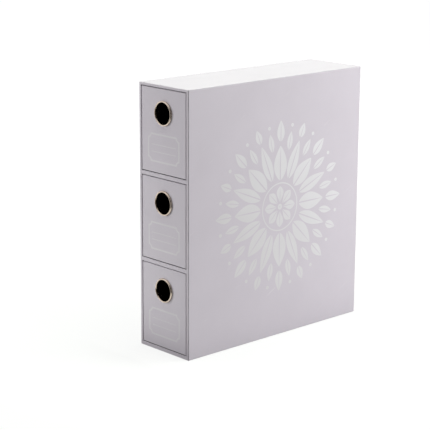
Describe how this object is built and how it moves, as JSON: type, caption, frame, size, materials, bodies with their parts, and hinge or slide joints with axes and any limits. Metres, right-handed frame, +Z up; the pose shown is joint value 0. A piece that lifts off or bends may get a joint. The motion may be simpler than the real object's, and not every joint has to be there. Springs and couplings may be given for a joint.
{
  "type": "trading card drawer box",
  "caption": "Tall narrow card storage box of wrapped board: an open-fronted casing with shelves holds stacked open-top drawers, each pulled straight out by a round metal finger ring.",
  "frame": {"origin": "under the middle of the whole box, on the surface that it stands on", "axes": "+X to the right across the front as seen from in front of it, +Y from the front to the back, +Z up"},
  "size_m": [0.0814, 0.2738, 0.3021],
  "materials": {
    "cover_paper": "satin",
    "bay_lining_paper": "matte",
    "drawer_lining_paper": "matte",
    "ring_nickel": "polished",
    "washer_steel": "satin"
  },
  "bodies": {
    "casing": {"casing_left_panel": "cover_paper", "casing_right_panel": "cover_paper", "casing_top_panel": "cover_paper", "casing_bottom_panel": "cover_paper", "casing_back_panel": "cover_paper", "lower_shelf": "cover_paper", "upper_shelf": "cover_paper", "lower_bay_lining": "bay_lining_paper", "middle_bay_lining": "bay_lining_paper", "upper_bay_lining": "bay_lining_paper"},
    "lower_drawer": {"lower_drawer_front": "cover_paper", "lower_drawer_left_side": "cover_paper", "lower_drawer_right_side": "cover_paper", "lower_drawer_back": "cover_paper", "lower_drawer_bottom": "cover_paper", "lower_drawer_lining": "drawer_lining_paper", "lower_finger_ring": "ring_nickel", "lower_ring_washer": "washer_steel"},
    "middle_drawer": {"middle_drawer_front": "cover_paper", "middle_drawer_left_side": "cover_paper", "middle_drawer_right_side": "cover_paper", "middle_drawer_back": "cover_paper", "middle_drawer_bottom": "cover_paper", "middle_drawer_lining": "drawer_lining_paper", "middle_finger_ring": "ring_nickel", "middle_ring_washer": "washer_steel"},
    "upper_drawer": {"upper_drawer_front": "cover_paper", "upper_drawer_left_side": "cover_paper", "upper_drawer_right_side": "cover_paper", "upper_drawer_back": "cover_paper", "upper_drawer_bottom": "cover_paper", "upper_drawer_lining": "drawer_lining_paper", "upper_finger_ring": "ring_nickel", "upper_ring_washer": "washer_steel"}
  },
  "joints": [
    {"name": "lower_drawer_slide", "type": "slide", "parent": "casing", "child": "lower_drawer", "axis": [0, -1, 0], "range_m": [0, 0.275]},
    {"name": "middle_drawer_slide", "type": "slide", "parent": "casing", "child": "middle_drawer", "axis": [0, -1, 0], "range_m": [0, 0.275]},
    {"name": "upper_drawer_slide", "type": "slide", "parent": "casing", "child": "upper_drawer", "axis": [0, -1, 0], "range_m": [0, 0.275]}
  ]
}
